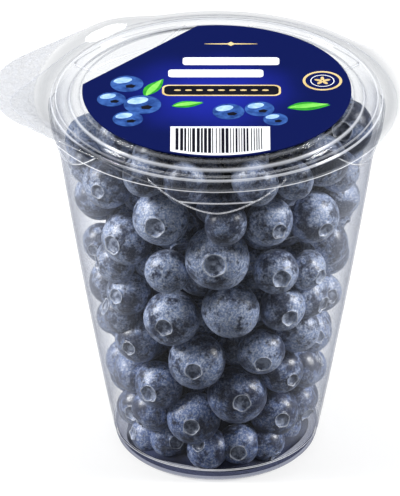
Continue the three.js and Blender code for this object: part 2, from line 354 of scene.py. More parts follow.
def smooth_path(points, per):
    """A Catmull-Rom curve through the points."""
    p = [np.array(q, float) for q in points]
    p = [2 * p[0] - p[1], *p, 2 * p[-1] - p[-2]]
    made = []
    for a, b, c, d in zip(p, p[1:], p[2:], p[3:]):
        for i in range(per):
            t = i / per
            square, cube = 2 * a - 5 * b + 4 * c - d, 3 * b - a - 3 * c + d
            made.append(tuple(0.5 * (2 * b + (c - a) * t + square * t * t + cube * t**3)))
    made.append(tuple(p[-2]))
    return made


def tab_outline(round_, tab, side):
    """How far the flange reaches, side degrees from the tab's middle: a circle of radius round_
    that runs by straight edges into the tab's rounded tip."""
    slope = math.cos(math.radians(tab["turn"]))
    tip_centre = (tab["reach"] - round_) / (1 - slope)
    tip_radius = tab["reach"] - tip_centre
    turn = math.radians(tab["turn"])
    touch = math.atan2(tip_radius * math.sin(turn), tip_centre + tip_radius * slope)
    off = math.radians(abs(side))
    if off >= turn:
        return round_
    if off >= touch:
        return round_ / math.cos(turn - off)
    return tip_centre * math.cos(off) + math.sqrt(tip_radius**2 - (tip_centre * math.sin(off)) ** 2)


def from_front(turn):
    """A turn in degrees from the front, from -180 to 180."""
    return math.degrees(math.atan2(math.sin(turn), math.cos(turn)))


def flange_outline(round_, left, right, turn):
    front = from_front(turn)
    if front < 0:
        return tab_outline(round_, left, front + 90)
    return tab_outline(round_, right, front - 90) if right else round_


def lug_at(height, turn):
    """How far the stacking lugs push the wall out. Each hangs from the rim as a smooth U."""
    front = from_front(turn)
    side = abs(front - LUG_PITCH * math.floor(front / LUG_PITCH + 0.5))
    below = RIM - height
    hem = LUG_DEPTH * (1 - (side / LUG_HALF) ** LUG_CURVE) if side < LUG_HALF else 0.0
    lug = 1 - smooth_step(hem - 0.5, hem + 0.5, below)
    lug *= smooth_step(LUG_HALF + 0.6, LUG_HALF - 1.2, side)
    ledge = 1 - smooth_step(LEDGE_DEPTH - 0.4, LEDGE_DEPTH + 0.4, below)
    return lug * (LUG_SWELL + LEDGE_SWELL * ledge)


def cup_shell():
    """The outer skin from the axis up to the flange's edge, and the inner skin back."""
    rows = [6, 10, 16, 24, 34, 46, 58, 70, 82, 90, 94]
    rows += [95 + 0.4 * k for k in range(28)]
    bend = outer_wall(RIM)
    neck = bend + 0.35  # where the flange starts
    shares = [0.06, 0.2, 0.4, 0.6, 0.8, 0.97]
    foot = [(0, 0.6), (12, 0.6), (22.5, 0.6), (23.6, 0.5), (24.4, 0.12), (25.2, 0), (26.9, 0)]
    foot += [(27.8, 0.28), (28.35, 0.9), (28.65, 1.8), (28.8, 2.8), (28.9, 3.5), (29.1, 3.85)]
    foot += [(29.27, 4.15)]
    outer = foot + [(outer_wall(z), z, "wall") for z in rows]
    outer += [(bend + 0.05, RIM - SHEET - 0.12), (neck, RIM - SHEET)]
    outer += [(s, RIM - SHEET, "flange") for s in shares] + [(1.0, RIM - 0.75 * SHEET, "edge")]
    top = [(1.0, RIM - 0.25 * SHEET, "edge")] + [(s, RIM, "flange") for s in reversed(shares)]
    top += [(bend + 0.1, RIM), (bend - 0.3, RIM - 0.15)]
    inner = [(outer_wall(z) - SHEET, z, "wall") for z in reversed(rows)]
    inner += [(28.85, 4.5), (28.65, 4.1), (28.4, 3.6), (28.3, 2.9), (28.1, 2.0), (27.7, 1.4)]
    inner += [(27.0, 1.1), (25.5, 1.02), (12, 1.02), (0, 1.02)]

    def reshape(radius, height, turn, tag=None):
        if tag == "wall":
            return radius + lug_at(height, turn), height, 0.0
        if tag in ("flange", "edge"):
            edge = flange_outline(CUP_FLANGE, CUP_EAR, None, turn)
            return neck + radius * (edge - neck), height, 1.0 if tag == "edge" else 0.0
        return radius, height, 0.0

    return turned(outer + top + inner, 320, reshape)


def tab_rise(turn, share):
    """How far the tabs are bent up at this share of the way from the flange's inner edge."""
    side = math.sin(turn) * LID_FLANGE
    large = LARGE_TAB["rise"] * smooth_step(*LARGE_TAB["bend"], -side)
    small = SMALL_TAB["rise"] * smooth_step(*SMALL_TAB["bend"], side)
    return (large + small) * smooth_step(0, 0.6, share)


def lid_shell():
    """The underside from the axis out to the flange's edge, and the upper side back."""
    rings = [(r, PANEL_RISE) for r in (0, 12, 25, 35, 37)]
    rings += smooth_path(LID_RINGS[1:], 5) + [(46.0, 1.0), (46.2, 0.72)]
    shares = [0.03, 0.08, 0.14, 0.22, 0.3, 0.38, 0.46, 0.54, 0.62, 0.7, 0.78, 0.86, 0.93, 0.985]
    top = rings + [(s, LID_FLANGE_LEVEL, "flange") for s in shares]
    under = [(r, h - SHEET) for r, h in rings]
    under += [(s, LID_FLANGE_LEVEL - SHEET, "flange") for s in shares]
    edge = [(1.0, LID_FLANGE_LEVEL - part * SHEET, "edge") for part in (0.72, 0.28)]

    def reshape(radius, height, turn, tag=None):
        level = LID_SEAT + height
        if tag is None:
            return radius, level, 0.0
        reach = flange_outline(LID_FLANGE, LARGE_TAB, SMALL_TAB, turn)
        wide = LID_FLANGE_INNER + radius * (reach - LID_FLANGE_INNER)
        return wide, level + tab_rise(turn, radius), 0.3 if tag == "edge" else 0.0

    return turned(under + edge + top[::-1], 320, reshape)


# Painted highlights where the lid's bends catch the light, and painted shade where it looks darker:
# radius, half width, how much.
RING_LIGHT = ((38.15, 0.25, 0.15), (41.0, 0.4, 0.42), (44.8, 0.25, 0.48), (46.1, 0.24, 0.5))
RING_SHADE = ((38.3, 0.6, 0.2), (41.0, 1.3, 0.3), (45.4, 1.8, 0.3), (48.4, 4.2, 0.42))

# One fruit's shape for a half width of 1: distance from its crown's axis, height along it, how much
# the crown's five lobes move that row, and 1 within the crown or -1 on its rim.
CROWN_ROWS = [
    (0.0, 0.79, 0, 1), (0.07, 0.765, 0, 1), (0.17, 0.755, 0, 1), (0.26, 0.765, 0.15, 1),
    (0.30, 0.81, 0.5, 0), (0.325, 0.86, 1, -1), (0.345, 0.872, 1, -1), (0.365, 0.845, 0.8, 0),
    (0.385, 0.80, 0.35, 0), (0.43, 0.785, 0, 0),
]
CROWN_EDGE = 0.44
FRUIT_ANGLES = [32, 42, 54, 67, 80, 93, 106, 119, 133, 147, 163]
FRUIT_AROUND = 24
FLATNESS, CROWN_SIZE, LOBE_SWING = (0.82, 0.92), (0.82, 1.12), (0.6, 1.1)
SWELLS = ((0.022, 2.2), (0.014, 3.6), (0.008, 6.0))


def fruit_shape(draws):
    """Vertices of one fruit with its crown towards +Z, and whether each is in the crown (1), on its
    rim (-1) or neither."""
    flat = draws.uniform(*FLATNESS)
    angles = [math.radians(a) for a in FRUIT_ANGLES]
    rows = CROWN_ROWS + [(math.sin(a), flat * math.cos(a), 0, 0) for a in angles]
    crown_size = draws.uniform(*CROWN_SIZE)
    around = np.arange(FRUIT_AROUND) * 2 * math.pi / FRUIT_AROUND
    phase = draws.uniform(0, 2 * math.pi)
    lobes = np.cos(5 * (around - phase)) * draws.uniform(*LOBE_SWING)
    lobes = lobes + 0.25 * np.cos(2 * around + draws.uniform(0, 6))
    made, crown = [], []
    for radius, height, lobe, mask in rows:
        size = crown_size if radius < CROWN_EDGE else 1.0
        if radius == 0:
            made.append(np.array([[0, 0, height]]))
            crown.append(np.array([mask]))
            continue
        r = radius * size * (1 + 0.055 * lobe * lobes)
        h = height + 0.03 * lobe * lobes
        made.append(np.stack([r * np.cos(around), r * np.sin(around), h + 0 * r], 1))
        crown.append(np.full(FRUIT_AROUND, mask))
    made.append(np.array([[0, 0, -flat * 0.985]]))
    crown.append(np.array([0.0]))
    v = np.concatenate(made)
    direction = v / np.maximum(np.linalg.norm(v, axis=1, keepdims=True), 1e-9)
    for size, tempo in SWELLS:
        axis = draws.normal(size=3)
        axis /= np.linalg.norm(axis)
        v = v * (1 + size * np.sin(tempo * direction @ axis + draws.uniform(0, 6)))[:, None]
    return v, np.concatenate(crown)


def fruit_faces():
    n, rows = FRUIT_AROUND, len(CROWN_ROWS) + len(FRUIT_ANGLES) - 1
    faces = [(0, 1 + k, 1 + (k + 1) % n) for k in range(n)]
    for row in range(rows - 1):
        a = 1 + row * n
        faces += [(a + k, a + n + k, a + n + (k + 1) % n, a + (k + 1) % n) for k in range(n)]
    a, last = 1 + (rows - 1) * n, 1 + rows * n
    faces += [(a + k, last, a + (k + 1) % n) for k in range(n)]
    return faces


def turn_to(axis, spin):
    """Rotation matrix that takes +Z to the axis after a spin about it."""
    z = np.array(axis, float) / np.linalg.norm(axis)
    x = np.cross((0.3, 0.5, 0.81), z)
    x /= np.linalg.norm(x)
    y = np.cross(z, x)
    c, s = math.cos(spin), math.sin(spin)
    return np.stack([c * x + s * y, c * y - s * x, z], 1)


def fruits_mesh(fruits):
    """All fruits as one mesh, with each vertex's share of bloom and its place in the crown."""
    draws = np.random.RandomState(41)
    base = fruit_faces()
    vertices, faces, tone, crown = [], [], [], []
    count = 0
    for x, y, z, radius, _home, axis in fruits:
        shape, mask = fruit_shape(draws)
        shape = radius * shape @ turn_to(axis, draws.uniform(0, 6.28)).T + (x, y, z)
        vertices.append(shape)
        faces += [tuple(c + count for c in f) for f in base]
        tone.append(np.full(len(shape), draws.uniform(0, 1)))
        crown.append(mask)
        count += len(shape)
    return np.concatenate(vertices), faces, np.concatenate(tone), np.concatenate(crown)


# The label's print: simple shapes in thin layers


WHITE, GOLD, BLACK, LEAF, PALE_LEAF, FRUIT, GLINT = range(7)
LAYER = 0.03

# The layout, in millimetres from the cup's axis. Bars are left, near, right, far and corner.
WHITE_BARS = ((-9.5, 14.2, 17.5, 18.6, 1.1), (-13.5, 7.2, 13.0, 11.6, 1.1))
RULE, RULE_HALF, RULE_KNOT = (4, 26.4), (7.5, 0.32), 1.2
FRAME, FRAME_FIELD = (-15.2, -3.4, 17.8, 2.9, 2.0), (-14.6, -2.8, 17.2, 2.3, 1.6)
DASHES, DASH_START, DASH_PITCH, DASH_HALF = 9, (-10.9, -0.25), 3.05, (0.95, 0.42)
SEAL, SEAL_GOLD, SEAL_WHITE = (29.4, 5.2), (4.75, 5.5), (3.1, 3.35)
PETALS, PETAL_REACH, PETAL_HALF = 5, 1.25, (1.05, 0.5)
LEAVES = ((-20, -3.5, 11, 2.3, 62), (-12.5, -9.2, 9, 2.0, 12), (19.5, -10.2, 12, 2.6, 8))
DRAWN_FRUITS = (
    (-25.0, 3.4, 4.6), (-29.2, -5.4, 4.0), (-20.6, -8.4, 5.2), (-24.6, -16.4, 4.2), (3.2, -12.3, 4.4),
    (11.8, -10.8, 4.1), (16.2, -16.6, 3.4),
)
STRIPES = {"left": -12.8, "right": 14.6, "far": -20.6, "edge": 36.6, "margin": 1.4}
STRIPE_WIDTHS, STRIPE_GAPS = [0.28, 0.28, 0.55, 0.83], [0.3, 0.3, 0.45, 0.7]


class Print:
    """Flat shapes as thin prisms, each face with the index of its ink."""

    def __init__(self):
        self.vertices, self.faces, self.indices = [], [], []

    def prism(self, outline, low, high, index):
        n, at = len(outline), len(self.vertices)
        area = sum(a[0] * b[1] - b[0] * a[1] for a, b in zip(outline, outline[1:] + outline[:1]))
        if area < 0:
            outline = outline[::-1]
        self.vertices += [(x, y, low) for x, y in outline] + [(x, y, high) for x, y in outline]
        made = [tuple(range(at + n - 1, at - 1, -1)), tuple(range(at + n, at + 2 * n))]
        made += [(at + k, at + (k + 1) % n, at + n + (k + 1) % n, at + n + k) for k in range(n)]
        self.faces += made
        self.indices += [index] * len(made)

    def ring(self, x, y, radii, low, high, index, steps=48):
        at = len(self.vertices)
        for z in (low, high):
            for r in radii:
                for k in range(steps):
                    a = 2 * math.pi * k / steps
                    self.vertices.append((x + r * math.cos(a), y + r * math.sin(a), z))
        i0, o0, i1, o1 = (at + n * steps for n in range(4))
        for k in range(steps):
            n = (k + 1) % steps
            self.faces += [
                (i1 + k, o1 + k, o1 + n, i1 + n), (o0 + k, i0 + k, i0 + n, o0 + n),
                (o0 + k, o0 + n, o1 + n, o1 + k), (i0 + n, i0 + k, i1 + k, i1 + n),
            ]
            self.indices += [index] * 4


def oval(x, y, rx, ry, turn=0.0, steps=32, start=0.0, end=360.0):
    c, s = math.cos(math.radians(turn)), math.sin(math.radians(turn))
    made = []
    full = end - start >= 360
    for k in range(steps if full else steps + 1):
        a = math.radians(start + (end - start) * k / steps)
        u, v = rx * math.cos(a), ry * math.sin(a)
        made.append((x + c * u - s * v, y + s * u + c * v))
    return made


def bar(x0, y0, x1, y1, corner):
    made = []
    middles = (
        (x1 - corner, y1 - corner), (x0 + corner, y1 - corner),
        (x0 + corner, y0 + corner), (x1 - corner, y0 + corner),
    )
    for quarter, (cx, cy) in enumerate(middles):
        for k in range(7):
            a = math.radians(90 * quarter + 15 * k)
            made.append((cx + corner * math.cos(a), cy + corner * math.sin(a)))
    return made


def leaf(x, y, length, width, turn):
    c, s = math.cos(math.radians(turn)), math.sin(math.radians(turn))
    out, back = np.linspace(0, length, 15), np.linspace(length, 0, 15)[1:-1]
    upper = [(t, width * math.sin(math.pi * (t / length) ** 0.8)) for t in out]
    lower = [(t, -0.8 * width * math.sin(math.pi * (t / length) ** 0.9)) for t in back]
    return [(x + c * u - s * v, y + s * u + c * v) for u, v in upper + lower]


def print_seal(p, z):
    """A round seal with a plain flower."""
    p.ring(*SEAL, SEAL_GOLD, z[0], z[1], GOLD)
    p.ring(*SEAL, SEAL_WHITE, z[0], z[1], WHITE)
    for k in range(PETALS):
        turn = 90 + 360 * k / PETALS
        x = SEAL[0] + PETAL_REACH * math.cos(math.radians(turn))
        y = SEAL[1] + PETAL_REACH * math.sin(math.radians(turn))
        p.prism(oval(x, y, *PETAL_HALF, turn), z[0], z[1], GOLD)


def print_fruit(p, z, x, y, r):
    p.prism(oval(x, y, r, r), z[0], z[2], FRUIT)
    p.prism(oval(x - 0.25 * r, y + 0.42 * r, 0.58 * r, 0.34 * r, 20), z[2], z[3], GLINT)
    p.prism(oval(x + 0.22 * r, y - 0.3 * r, 0.34 * r, 0.24 * r, 10, 5), z[2], z[3], BLACK)


def print_stripes(p, z):
    """A white field of stripes at the front edge, bounded by the label's round."""
    left, right, far, edge = (STRIPES[key] for key in ("left", "right", "far", "edge"))
    arc = [(x, -math.sqrt(edge**2 - x * x)) for x in np.linspace(right, left, 17)]
    p.prism([(left, far), (right, far)] + arc, z[0], z[1], WHITE)
    draws = np.random.RandomState(5)
    x = left + STRIPES["margin"]
    while x < right - 2.2:
        w = float(draws.choice(STRIPE_WIDTHS))
        near = -math.sqrt(edge**2 - max(abs(x), abs(x + w)) ** 2) + 1.2
        p.prism([(x, far - 1.0), (x + w, far - 1.0), (x + w, near), (x, near)], z[1], z[2], BLACK)
        x += w + float(draws.choice(STRIPE_GAPS))


def label_print():
    p = Print()
    z = [LABEL_TOP + LAYER * k for k in range(4)]
    for field in WHITE_BARS:
        p.prism(bar(*field), z[0], z[1], WHITE)
    p.prism(oval(*RULE, *RULE_HALF), z[0], z[1], GOLD)
    p.prism(oval(*RULE, RULE_KNOT, RULE_KNOT, 0, 4), z[0], z[1] + 0.004, GOLD)
    p.prism(bar(*FRAME), z[0], z[1], GOLD)
    p.prism(bar(*FRAME_FIELD), z[1], z[2], BLACK)
    for k in range(DASHES):
        p.prism(oval(DASH_START[0] + DASH_PITCH * k, DASH_START[1], *DASH_HALF), z[2], z[3], GOLD)
    print_seal(p, z)
    for x, y, length, width, turn in LEAVES:
        p.prism(leaf(x, y, length, width, turn), z[0], z[1], LEAF)
        p.prism(leaf(x + 0.4, y + 0.1, length * 0.94, width * 0.5, turn + 3), z[1], z[2], PALE_LEAF)
    for k, (x, y, r) in enumerate(DRAWN_FRUITS):
        lift = 0.012 * (k % 3)  # so that fruits that overlap don't share a plane
        print_fruit(p, [level + lift for level in z], x, y, r)
    print_stripes(p, z)
    return p


def label_disc():
    x0, y0, x1, y1 = LABEL_CUT
    start, end = math.degrees(math.atan2(y0, x0)), math.degrees(math.atan2(y1, x1))
    outline = oval(0, 0, LABEL_RADIUS, LABEL_RADIUS, 0, 160, start - 360, end)
    p = Print()
    p.prism(outline, LABEL_LOW, LABEL_TOP, 0)
    return p.vertices, p.faces


# Materials


LINE_GLOW = 1.0  # stands for the studio's glints along the plastic's bends
HAZE_GLOW = 0.12  # and for its white walls, which the plastic shows where it turns away
HAZE, HAZE_LEAST = 0.25, 0.016
TAB_GRAIN = 0.13
FILM = {"cup": (0.978, 0.981, 0.985, 1), "lid": (0.952, 0.955, 0.958, 1)}
FILM_SHADE = {"cup": (0.42, 0.44, 0.54, 1), "lid": (0.6, 0.61, 0.63, 1)}
FILM_EDGE, TAB_FILM = (0.90, 0.905, 0.925, 1), (0.835, 0.837, 0.843, 1)
# The veil's colour, and its paler colour on the painted highlights along the bends.
VEIL, GLINT_VEIL = (0.84, 0.88, 0.97, 1), (0.97, 0.98, 0.99, 1)
MIRROR_LEAST, MIRROR_MOST = {"cup": 0.008, "lid": 0.012}, 0.3

# A fruit's colours: the bare skin and the skin with its bloom, high up and low down in the cup, the
# bloom's powder, pits, the crown's floor and rim, and the shade right under the lid.
SKIN_BARE, SKIN_BARE_LOW = (36, 46, 76), (25, 36, 72)
SKIN_BLOOM, SKIN_BLOOM_LOW = (144, 164, 206), (84, 110, 166)
POWDER, PIT = (232, 239, 252), (20, 25, 46)
CROWN_DARK, CROWN_PALE, CROWN_RIM = (76, 85, 108), (186, 195, 214), (222, 228, 238)
LID_SHADOW = (14, 17, 28)
PATCH_SCALE, SMEAR_SCALE, SPECK_SCALE = 165.0, 560.0, 1700.0


def material(name):
    made = bpy.data.materials.new(name)
    made.use_nodes = True
    made.node_tree.nodes.clear()
    return made, made.node_tree


def node(tree, kind, inputs=None, **props):
    made = tree.nodes.new(kind)
    for key, value in props.items():
        setattr(made, key, value)
    for key, value in (inputs or {}).items():
        if isinstance(value, bpy.types.NodeSocket):
            tree.links.new(value, made.inputs[key])
        else:
            made.inputs[key].default_value = value
    return made


def output(tree, surface):
    node(tree, "ShaderNodeOutputMaterial", {"Surface": surface})


def maths(tree, kind, *values, clamp=False):
    made = node(tree, "ShaderNodeMath", dict(enumerate(values)), operation=kind, use_clamp=clamp)
    return made.outputs[0]


def chained(tree, kind, first, *others):
    for value in others:
        first = maths(tree, kind, first, value)
    return first


def times(tree, *values):
    return chained(tree, "MULTIPLY", *values)


def plus(tree, *values):
    return chained(tree, "ADD", *values)


def minus(tree, a, b):
    return maths(tree, "SUBTRACT", a, b)


def highest(tree, *values):
    return chained(tree, "MAXIMUM", *values)


def ramp(tree, value, low, high, to_low=0.0, to_high=1.0, smooth=False):
    made = node(tree, "ShaderNodeMapRange", {
        "Value": value, "From Min": low, "From Max": high, "To Min": to_low, "To Max": to_high,
    }, interpolation_type="SMOOTHSTEP" if smooth else "LINEAR")
    return made.outputs["Result"]


def mixed(tree, share, a, b):
    """A colour mix. Mix's colour sockets are its 7th and 8th."""
    made = node(tree, "ShaderNodeMix", {0: share, 6: a, 7: b}, data_type="RGBA", clamp_factor=True)
    return made.outputs[2]


def srgb(r, g, b):
    def linear(c):
        c /= 255
        return c / 12.92 if c <= 0.04045 else ((c + 0.055) / 1.055) ** 2.4

    return (linear(r), linear(g), linear(b), 1.0)


def noise(tree, vector, scale, detail=2.0, rough=0.5):
    made = node(tree, "ShaderNodeTexNoise", {
        "Vector": vector, "Scale": scale, "Detail": detail, "Roughness": rough,
    })
    return made.outputs["Fac"]


def polar(tree, place):
    """Distance from the cup's axis, angle from the front in degrees, x from the axis, and z."""
    split = node(tree, "ShaderNodeSeparateXYZ", {"Vector": place})
    x = minus(tree, split.outputs["X"], AXIS_X * MM)
    y = split.outputs["Y"]
    radius = maths(tree, "SQRT", plus(tree, times(tree, x, x), times(tree, y, y)))
    angle = maths(tree, "ARCTAN2", x, times(tree, y, -1.0))
    return radius, times(tree, angle, 180 / math.pi), x, split.outputs["Z"]


def line(tree, value, middle, half, share=1.0):
    """1 times share where the value is at the middle, falling to 0 at half to each side."""
    away = maths(tree, "ABSOLUTE", minus(tree, value, middle))
    return ramp(tree, away, half, 0.0, 0.0, share, True)


def ring_lines(tree, radius, rings):
    return highest(tree, *(line(tree, radius, r * MM, half * MM, share) for r, half, share in rings))


def cup_lines(tree, angle, z, facing):
    """Painted highlights: the bright outlines of the lugs, of the ledge across each, and of the base's
    bends. And how far a place is within a lug or the base's bend, where painted shade makes the
    plastic darker."""
    turn = maths(tree, "DIVIDE", angle, LUG_PITCH)
    side = maths(tree, "ABSOLUTE", minus(tree, turn, maths(tree, "ROUND", turn)))
    side = maths(tree, "DIVIDE", times(tree, side, LUG_PITCH), LUG_HALF)
    share = maths(tree, "POWER", side, LUG_CURVE)
    hem = times(tree, minus(tree, 1.0, share), LUG_DEPTH)
    below = maths(tree, "DIVIDE", minus(tree, RIM * MM, z), MM)
    over_hem = minus(tree, hem, below)
    outline = line(tree, minus(tree, below, hem), 0.0, 0.34)
    outline = times(tree, outline, ramp(tree, below, 0.5, 1.0))
    ledge = line(tree, below, LEDGE_DEPTH, 0.27, 0.9)
    ledge = times(tree, ledge, ramp(tree, over_hem, -0.1, 0.1))
    base = line(tree, z, BASE_LINE * MM, 0.24 * MM)
    foot = line(tree, z, 0.4 * MM, 0.3 * MM, 0.4)
    within = times(
        tree,
        ramp(tree, over_hem, 0.0, 0.8, 0.0, 0.26, True),
        ramp(tree, below, 0.4, 1.0),
        ramp(tree, facing, 0.25, 0.5, 1.0, 0.15),
        ramp(tree, maths(tree, "ABSOLUTE", angle), 100.0, 130.0, 1.0, 0.1),
    )
    bend = times(
        tree,
        ramp(tree, z, 0.5 * MM, 1.1 * MM),
        ramp(tree, z, 4.0 * MM, 3.6 * MM, 0.0, 0.95),
    )
    return highest(tree, outline, ledge, base, foot), highest(tree, within, bend)


def pebbled_tab(tree, place, radius, x, normal):
    """How far a place is in the large tab, outside the flange's circle, how bright its pebbles are
    there, and the normal with their relief."""
    tab = times(tree, ramp(tree, radius, 0.0506, 0.0511), ramp(tree, x, -0.024, -0.028))
    cells = node(tree, "ShaderNodeTexVoronoi", {"Vector": place, "Scale": 950.0}, feature="SMOOTH_F1")
    pebbles = cells.outputs["Distance"]
    relief = node(tree, "ShaderNodeBump", {
        "Height": times(tree, pebbles, tab), "Strength": 0.9, "Distance": 0.0005, "Normal": normal,
    })
    return tab, ramp(tree, pebbles, 0.15, 0.6, 0.2, 1.8), relief.outputs["Normal"]


def clear_plastic(name, part):
    """Clear thin plastic: see-through face on, paler and more mirroring where it turns away. The
    paleness is partly haze and partly a painted reflection of white walls; the bends carry painted
    highlights, and the lugs, the base's bend and the lid's rings painted shade.
    """
    made, tree = material(name)
    made.cycles.emission_sampling = "NONE"
    place = node(tree, "ShaderNodeTexCoord").outputs["Object"]
    radius, angle, x, z = polar(tree, place)
    facing = node(tree, "ShaderNodeLayerWeight", {"Blend": 0.5}).outputs["Facing"]
    ripple = noise(tree, place, 60.0, 1.0)
    bump = node(tree, "ShaderNodeBump", {"Height": ripple, "Strength": 0.25, "Distance": 0.0006})
    normal = bump.outputs["Normal"]
    tint = mixed(tree, ramp(tree, facing, 0.55, 1.0), FILM[part], FILM_EDGE)
    if part == "lid":
        tab, dots, normal = pebbled_tab(tree, place, radius, x, normal)
        painted_glints, shade = ring_lines(tree, radius, RING_LIGHT), ring_lines(tree, radius, RING_SHADE)
        tint = mixed(tree, shade, tint, FILM_SHADE[part])
        tint = mixed(tree, tab, tint, TAB_FILM)
        veiled = times(tree, tab, dots, TAB_GRAIN)
    else:
        painted_glints, shade = cup_lines(tree, angle, z, facing)
        tint = mixed(tree, shade, tint, FILM_SHADE[part])
        upright = times(
            tree,
            ramp(tree, z, 7.0 * MM, 10.0 * MM),
            ramp(tree, z, (RIM - 0.6) * MM, (RIM - 1.2) * MM),
        )
        veiled = times(tree, ramp(tree, facing, 0.32, 0.90, HAZE_LEAST, HAZE, True), upright)
    # Painted highlights: the lines and the edge light make the veil paler and make it glow.
    lit = node(tree, "ShaderNodeAttribute", attribute_name="edge_light").outputs["Fac"]
    painted_glints = highest(tree, times(tree, lit, 0.7), painted_glints)
    pale = mixed(tree, painted_glints, VEIL, GLINT_VEIL)
    satin = node(tree, "ShaderNodeBsdfPrincipled", {
        "Base Color": pale, "Roughness": 0.35, "Normal": normal, "Emission Color": (1, 1, 1, 1),
        "Emission Strength": ramp(tree, painted_glints, 0.0, 1.0, HAZE_GLOW, LINE_GLOW),
    })
    through = node(tree, "ShaderNodeBsdfTranslucent", {"Color": pale})
    veil = node(tree, "ShaderNodeMixShader", {0: 0.4, 1: satin.outputs[0], 2: through.outputs[0]})
    clear = node(tree, "ShaderNodeBsdfTransparent", {"Color": tint})
    share = plus(tree, painted_glints, veiled) if part == "lid" else highest(tree, painted_glints, veiled)
    body = node(tree, "ShaderNodeMixShader", {0: share, 1: clear.outputs[0], 2: veil.outputs[0]})
    gloss = node(tree, "ShaderNodeBsdfGlossy", {
        "Roughness": 0.045, "Color": (1, 1, 1, 1), "Normal": normal,
    })
    turned_away = node(tree, "ShaderNodeLayerWeight", {"Blend": 0.5, "Normal": normal}).outputs["Facing"]
    steep = maths(tree, "POWER", turned_away, 4.0)
    mirror = ramp(tree, steep, 0.0, 1.0, MIRROR_LEAST[part], MIRROR_MOST)
    surface = node(tree, "ShaderNodeMixShader", {0: mirror, 1: body.outputs[0], 2: gloss.outputs[0]})
    output(tree, surface.outputs[0])
    return made


def berry_skin():
    """Dark skin under a patchy, speckled bloom, with a scarred crown that has a ragged pale rim."""
    made, tree = material("berry_skin")
    place = node(tree, "ShaderNodeTexCoord").outputs["Object"]
    tone = node(tree, "ShaderNodeAttribute", attribute_name="tone").outputs["Fac"]
    crown = node(tree, "ShaderNodeAttribute", attribute_name="crown").outputs["Fac"]
    patches = noise(tree, place, PATCH_SCALE, 3.0, 0.6)
    smear = noise(tree, place, SMEAR_SCALE, 4.0, 0.65)
    specks = noise(tree, place, SPECK_SCALE, 4.0, 0.7)
    bloom = plus(tree, times(tree, patches, 1.5), times(tree, smear, 0.8), times(tree, tone, 0.16))
    bloom = ramp(tree, bloom, 1.04, 1.42, 0.0, 1.0, True)
    height = node(tree, "ShaderNodeSeparateXYZ", {"Vector": place}).outputs["Z"]
    low_down = ramp(tree, height, 0.015, 0.055, 1.0, 0.0, True)
    under_lid = ramp(tree, height, 0.088, 0.100, 0.0, 0.28, True)
    bare = mixed(tree, low_down, srgb(*SKIN_BARE), srgb(*SKIN_BARE_LOW))
    bloomed = mixed(tree, low_down, srgb(*SKIN_BLOOM), srgb(*SKIN_BLOOM_LOW))
    skin = mixed(tree, bloom, bare, bloomed)
    powder = times(
        tree,
        ramp(tree, specks, 0.46, 0.60),
        ramp(tree, bloom, 0.0, 1.0, 0.15, 0.95),
        ramp(tree, low_down, 0.0, 1.0, 1.0, 0.6),
    )
    skin = mixed(tree, powder, skin, srgb(*POWDER))
    skin = mixed(tree, ramp(tree, smear, 0.32, 0.45, 0.85, 0.0), skin, srgb(*PIT))
    scar = mixed(tree, ramp(tree, smear, 0.42, 0.60), srgb(*CROWN_DARK), srgb(*CROWN_PALE))
    skin = mixed(tree, maths(tree, "MULTIPLY", crown, 0.8, clamp=True), skin, scar)
    rim = maths(tree, "MULTIPLY", crown, -1.0, clamp=True)
    ragged = ramp(tree, smear, 0.38, 0.52, 0.35, 1.0)
    skin = mixed(tree, times(tree, rim, ragged), skin, srgb(*CROWN_RIM))
    skin = mixed(tree, under_lid, skin, srgb(*LID_SHADOW))
    relief = plus(tree, times(tree, specks, 0.2), times(tree, smear, 0.8))
    bump = node(tree, "ShaderNodeBump", {"Height": relief, "Strength": 0.5, "Distance": 0.0002})
    normal = bump.outputs["Normal"]
    shader = node(tree, "ShaderNodeBsdfPrincipled", {
        "Base Color": skin, "Roughness": ramp(tree, bloom, 0.0, 1.0, 0.34, 0.50), "Normal": normal,
        "Coat Weight": 0.55, "Coat Roughness": 0.32, "Coat Normal": normal,
        "Sheen Weight": 0.3, "Sheen Roughness": 0.4, "Sheen Tint": (0.75, 0.82, 1.0, 1),
    })
    output(tree, shader.outputs[0])
    return made


def core_painted_shade():
    # Painted shade: a dark, mottled skin for the core, which stands for the fruits further in as they
    # look in shadow.
    made, tree = material("heap_shade")
    place = node(tree, "ShaderNodeTexCoord").outputs["Object"]
    tone = ramp(tree, noise(tree, place, 160.0, 3.0), 0.35, 0.65)
    skin = mixed(tree, tone, srgb(16, 21, 42), srgb(40, 50, 84))
    shader = node(tree, "ShaderNodeBsdfPrincipled", {"Base Color": skin, "Roughness": 0.8})
    output(tree, shader.outputs[0])
    return made


def ink_surface(tree, place, colour, rough):
    """Satin ink on film with a thin waviness."""
    waves = noise(tree, place, 45.0, 1.0)
    bump = node(tree, "ShaderNodeBump", {"Height": waves, "Strength": 0.2, "Distance": 0.0006})
    ink = node(tree, "ShaderNodeBsdfPrincipled", {
        "Base Color": colour, "Roughness": rough, "Normal": bump.outputs["Normal"],
        "Specular IOR Level": 0.04,
    })
    output(tree, ink.outputs[0])


def printed(name, low, high, rough=0.32, scale=180.0):
    """Ink of two near tones, faintly mottled."""
    made, tree = material(name)
    place = node(tree, "ShaderNodeTexCoord").outputs["Object"]
    tone = ramp(tree, noise(tree, place, scale, 3.0), 0.3, 0.7)
    ink_surface(tree, place, mixed(tree, tone, srgb(*low), srgb(*high)), rough)
    return made


